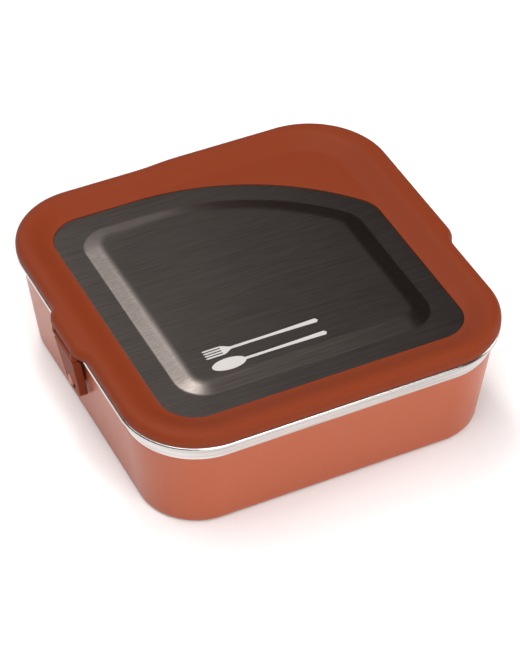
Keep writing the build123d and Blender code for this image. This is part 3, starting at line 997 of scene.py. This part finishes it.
def face_rows(rim_z):
    """Rows of one face of the sheet, from the middle to the edge; its rim is at rim_z."""
    rows = [row(head * share, rim_z + PANEL_RISE + crown(head * share)) for share in FLAT_SHARES]
    for share in np.linspace(0, 1, SLOPE_ROWS):
        lift = (PANEL_RISE + crown(head)) * (1 - bevel_drop(share))
        rows.append(row(head + (foot - head) * share, rim_z + lift))
    return rows + [row(foot + (edge + into * EDGE_R - foot) * share, rim_z) for share in RIM_SHARES]


def plate_rows():
    """The whole sheet, with its upper edge rounded."""
    def at_edge(inset):
        """An outline this far inside the plate's edge, straight in from each point."""
        return edge + into * inset

    upper = face_rows(PLATE_TOP) + bend(at_edge, 0, PLATE_TOP, EDGE_R, -EDGE_R, DOWN)
    rim = [row(edge, PLATE_UNDER + EDGE_R), row(at_edge(EDGE_R), PLATE_UNDER)]
    return upper + rim + face_rows(PLATE_UNDER)[::-1]


print("slope and rim together have", SLOPE_ROWS + len(RIM_SHARES), "rows")

# %% Press the plate
# The UV map runs along Y, across the brushed lines, so that the metal's highlight is drawn out that way.
CRISP_PLATE = 50
plate_mesh = rows_to_mesh("plate", plate_rows(), closed=False)
shade(plate_mesh, CRISP_PLATE)
across_map = plate_mesh.uv_layers.new(name="across_lines")
for loop in plate_mesh.loops:
    spot = plate_mesh.vertices[loop.vertex_index].co
    across_map.data[loop.index].uv = (spot.y / (2 * PLATE_HALF) + 0.5, spot.x / (2 * PLATE_HALF) + 0.5)
plate = add_piece("pressed_plate", plate_mesh, plate_steel)
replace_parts(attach(plate, "lid"), "lid_plate")
print("plate has", len(plate_mesh.polygons), "faces")

# %% [markdown]
# ## The etched mark
#
# A small pale mark is etched into the front left of the raised middle. Here it is a plain fork and
# spoon, each a strip whose width changes along its length, laid a hair above the steel.

# %% A strip that lies on the plate
MARK_LIFT = 0.02 * MM
THINNEST = 0.01 * MM


def panel_top(xy):
    """Height of the raised middle."""
    return PLATE_TOP + PANEL_RISE + crown(xy)


def strip(centre_line, half_widths):
    """Points and quads of a flat strip along a line, with its own width at each point."""
    line = np.array(centre_line, float)
    along = np.gradient(line, axis=0)
    side = np.stack((-along[:, 1], along[:, 0]), 1)
    side /= np.linalg.norm(side, axis=1)[:, None]
    widths = np.array(half_widths)[:, None]
    left, right = line + side * widths, line - side * widths
    top = [row(left, panel_top(left) + MARK_LIFT), row(right, panel_top(right) + MARK_LIFT)]
    under = [row(right, panel_top(right) - MARK_LIFT), row(left, panel_top(left) - MARK_LIFT)]
    points = np.vstack(top + under)
    n = len(line)
    faces = []
    for ring in range(4):
        a, b = ring * n, ((ring + 1) % 4) * n
        faces += [(a + i, a + i + 1, b + i + 1, b + i) for i in range(n - 1)]
    faces.append((0, n, 2 * n, 3 * n))
    faces.append((n - 1, 2 * n - 1, 3 * n - 1, 4 * n - 1))
    return points, faces


print("the mark stands", round(MARK_LIFT / MM, 3), "mm proud")

# %% Fork and spoon from strips
POINTS, TINE_POINTS, TINES = 60, 16, 4
BOWL_HALF, PALM_HALF, TINE_HALF, TINE_GAP = 3.4 * MM, 2.7 * MM, 0.42 * MM, 1.5 * MM


def cutlery_strips(length, y, tip, kind):
    """Strips of one piece of cutlery; tip is the x of its head's end, and it runs along +X."""
    s = np.linspace(0, 1, POINTS)
    centre = np.stack((tip + s * length, np.full(POINTS, y)), 1)
    handle = 0.7 * MM + 0.55 * MM * np.clip((s - 0.45) / 0.55, 0, 1)**1.5
    handle *= np.sqrt(np.clip((1 - s) / 0.012, 0, 1))
    if kind == "spoon":
        bowl = BOWL_HALF * np.sqrt(np.clip(1 - ((s - 0.145) / 0.145)**2, 0, 1))
        return [strip(centre, np.maximum(np.maximum(bowl, handle), THINNEST))]
    neck = np.clip((s - 0.15) / 0.12, 0, 1)
    palm = PALM_HALF * (1 - neck**2 * (3 - 2 * neck))
    body = s >= 0.15
    strips = [strip(centre[body], np.maximum(np.maximum(palm, handle)[body], THINNEST))]
    u = np.linspace(0, 1, TINE_POINTS)
    for k in range(TINES):
        across = np.full(TINE_POINTS, y + (k - (TINES - 1) / 2) * TINE_GAP)
        tine = np.stack((tip + u * 0.16 * length, across), 1)
        strips.append(strip(tine, TINE_HALF * np.sqrt(np.clip(u / 0.12, 0.02, 1))))
    return strips


print("a fork has", TINES, "tines")

# %% Etch the mark
points, faces, count = [], [], 0
MARK_X, MARK_Y, MARK_LENGTH = -41.0 * MM, -41.0 * MM, 52.0 * MM
HALF_GAP = 4.2 * MM
for kind, dy in (("fork", HALF_GAP), ("spoon", -HALF_GAP)):
    for more_points, more_faces in cutlery_strips(MARK_LENGTH, MARK_Y + dy, MARK_X, kind):
        points.append(more_points)
        faces += [tuple(i + count for i in face) for face in more_faces]
        count += len(more_points)
mark_mesh = bpy.data.meshes.new("cutlery_mark")
mark_mesh.from_pydata(np.vstack(points).tolist(), [], faces)
face_outwards(mark_mesh)
mark = add_piece("cutlery_mark", mark_mesh, etched)
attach(mark, "lid")
print("the mark has", len(mark_mesh.polygons), "faces")

# %% [markdown]
# ## The seal
#
# A rubber ring sits in the plug wall's groove, with two soft lips that press on the tray. It hides
# when the box is shut and shows when the lid is lifted. The tray's sweep tree makes it too.

# %% Sweep the seal
seal_low, seal_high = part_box("seal_ring")
seal_back = plug_half - SEAL_GROOVE
bottom, top, tip = seal_low.z, seal_high.z, seal_high.x
TIP_R, LIP_ROOT, LIP_HALF = 0.22 * MM, 0.05 * MM, 0.45 * MM
LIP_SHARES = (0.78, 0.36)
lips = []
for share in LIP_SHARES:
    z = bottom + (top - bottom) * share
    lips += [(plug_half + LIP_ROOT, z + LIP_HALF)] + arc((tip - TIP_R, z), TIP_R, 60, -60, 5)
    lips += [(plug_half + LIP_ROOT, z - LIP_HALF)]
section = [(seal_back, bottom), (seal_back, top), (plug_half, top)] + lips + [(plug_half, bottom)]
seal = swept("seal", section, [0.0] * len(section), closed=True, inner=rubber, outer=rubber)
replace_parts(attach(seal, "lid"), "seal_ring")

# %% [markdown]
# ## The latches
#
# A latch is a small channel moulding: a thin face, two side flanges, a knuckle round the pin and a
# hole for the stud. Moulded plastic has no knife edges, so the design's own solid is remeshed very
# finely and smoothed a little, which rounds every edge by a fraction of a millimetre.

# %% Soften the design's latch
def softened(node, voxel, rounds, keep):
    """A finely remeshed, slightly melted copy of a design node's mesh."""
    mesh = frame["nodes"][node].data.copy()
    face_outwards(mesh)
    mesh.materials.clear()
    piece = add_piece(node + "_work", mesh)
    remesh = piece.modifiers.new("fine", "REMESH")
    remesh.mode = "VOXEL"
    remesh.voxel_size = voxel
    melt = piece.modifiers.new("melt", "SMOOTH")
    melt.factor = 0.5
    melt.iterations = rounds
    thin = piece.modifiers.new("thin", "DECIMATE")
    thin.ratio = keep
    seen = piece.evaluated_get(bpy.context.evaluated_depsgraph_get())
    result = bpy.data.meshes.new_from_object(seen)
    bpy.data.objects.remove(piece)
    return result


VOXEL, MELT_ROUNDS, KEPT_SHARE, CRISP_LATCH = 0.16 * MM, 5, 0.25, 60
right_mesh = softened("right_latch", VOXEL, MELT_ROUNDS, KEPT_SHARE)
shade(right_mesh, CRISP_LATCH)
left_mesh = right_mesh.copy()
left_mesh.transform(Matrix.Rotation(math.pi, 4, "Z"))
for name, mesh in (("right", right_mesh), ("left", left_mesh)):
    latch = add_piece(name + "_latch_tab", mesh, moulding)
    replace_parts(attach(latch, name + "_latch_arm"), name + "_latch")
print("each latch has", len(right_mesh.polygons), "faces")

# %% [markdown]
# ## The hinge pins
#
# Each latch turns on a short piece of drawn wire, cut and chamfered, that is held in two ears.

# %% Turn the pins
pin_low, pin_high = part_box("right_hinge_pin")
pin_r = (pin_high.z - pin_low.z) / 2
reach = pin_high.y
bevel = 0.15 * MM
PIN_SIDES = 32
profile = [(-reach, pin_r - bevel), (-reach + bevel, pin_r)]
profile += [(-along, radius) for along, radius in profile[::-1]]
for side, name in ((1, "right"), (-1, "left")):
    mesh = lathe(name + "_pin", profile, (side * HINGE_X, 0, HINGE_Z), (0, 1, 0), PIN_SIDES)
    pin = add_piece(name + "_pin", mesh, wire)
    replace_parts(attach(pin, "lid"), name + "_hinge_pin")
print("each pin is", round(2 * pin_r / MM, 2), "by", round(2 * reach / MM, 1), "mm")

# %% [markdown]
# ## Studio
#
# A pale floor under soft lamps. The broad overhead lamp stands to the left, so that the plate's left
# slope mirrors it and the flat of the plate doesn't: that is why the steel looks dark. The small key
# and the strip beside it light the plate's front slope, the low back panel its back slope, and the
# front and right panels lift the coated walls. The dim warm world fills what no lamp reaches. A
# panorama of a room would light the box too, but lamps can be moved one at a time.

# %% Floor
floor_mat, tree, shader = finish("studio_floor", (0.93, 0.93, 0.93), 0.7)
floor_noise = add_node(tree, "ShaderNodeTexNoise", {"Scale": 3.0, "Detail": 2.0})
vary_colour(tree, shader, (0.925, 0.925, 0.925), (0.935, 0.935, 0.935), floor_noise.outputs["Fac"])
floor_mesh = bpy.data.meshes.new("floor")
SPAN = 8.0
corners = [(-SPAN, -SPAN, 0), (SPAN, -SPAN, 0), (SPAN, SPAN, 0), (-SPAN, SPAN, 0)]
floor_mesh.from_pydata(corners, [], [(0, 1, 2, 3)])
floor = add_piece("floor", floor_mesh, floor_mat)
print("floor is", 2 * SPAN, "m across")


# %% Lights
def soft_light(name, place, aim, width, height, power):
    """A white rectangular lamp that faces its aim; sizes in metres, power in watts."""
    data = bpy.data.lights.new(name, "AREA")
    data.shape = "RECTANGLE"
    data.size, data.size_y = width, height
    data.energy = power
    lamp = bpy.data.objects.new(name, data)
    bpy.context.scene.collection.objects.link(lamp)
    lamp.location = place
    lamp.rotation_euler = (Vector(aim) - Vector(place)).to_track_quat("-Z", "Y").to_euler()
    print(name, "gives", power, "W")


soft_light("overhead", (-1.10, -0.15, 2.5), (-1.10, -0.15, 0.0), 2.9, 4.1, 100.0)
soft_light("small_key", (0.0, 1.0, 2.4), (0, 0, 0.03), 0.4, 0.4, 15.0)
soft_light("back_panel", (-0.5, 3.0, 0.95), (-0.5, 0.0, 0.95), 3.2, 1.1, 16.0)
soft_light("key_strip", (0.62, 1.15, 2.4), (0.62, 1.15, 0.0), 1.0, 0.35, 3.2)
soft_light("front_panel", (0.1, -2.3, 1.1), (0, 0, 0.03), 1.6, 1.2, 40.0)
soft_light("right_panel", (2.4, -0.3, 0.9), (0, 0, 0.03), 1.4, 1.2, 20.0)

# %% The dim room, and plain colours
world = bpy.data.worlds.new("studio")
bpy.context.scene.world = world
world.use_nodes = True
tree = world.node_tree
background = tree.nodes["Background"]
background.inputs["Color"].default_value = (1.0, 0.86, 0.78, 1)
background.inputs["Strength"].default_value = 0.06
bpy.context.scene.view_settings.view_transform = "Standard"
print("room's strength is", round(background.inputs["Strength"].default_value, 3))

# %% Camera
camera_data = bpy.data.cameras.new("camera")
camera_data.lens = 151.0
camera_data.sensor_width = 36.0
camera = bpy.data.objects.new("camera", camera_data)
bpy.context.scene.collection.objects.link(camera)
camera.location = (-0.38494, -0.78442, 0.79810)
LOOK_AT = Vector((0.0018, -0.0017, 0.025))
ROLL = math.radians(0.4)
aim = (LOOK_AT - camera.location).to_track_quat("-Z", "Y").to_matrix()
camera.rotation_euler = (aim @ Matrix.Rotation(ROLL, 3, "Z")).to_euler()
bpy.context.scene.camera = camera
print("camera is", round((camera.location - LOOK_AT).length, 2), "m away")
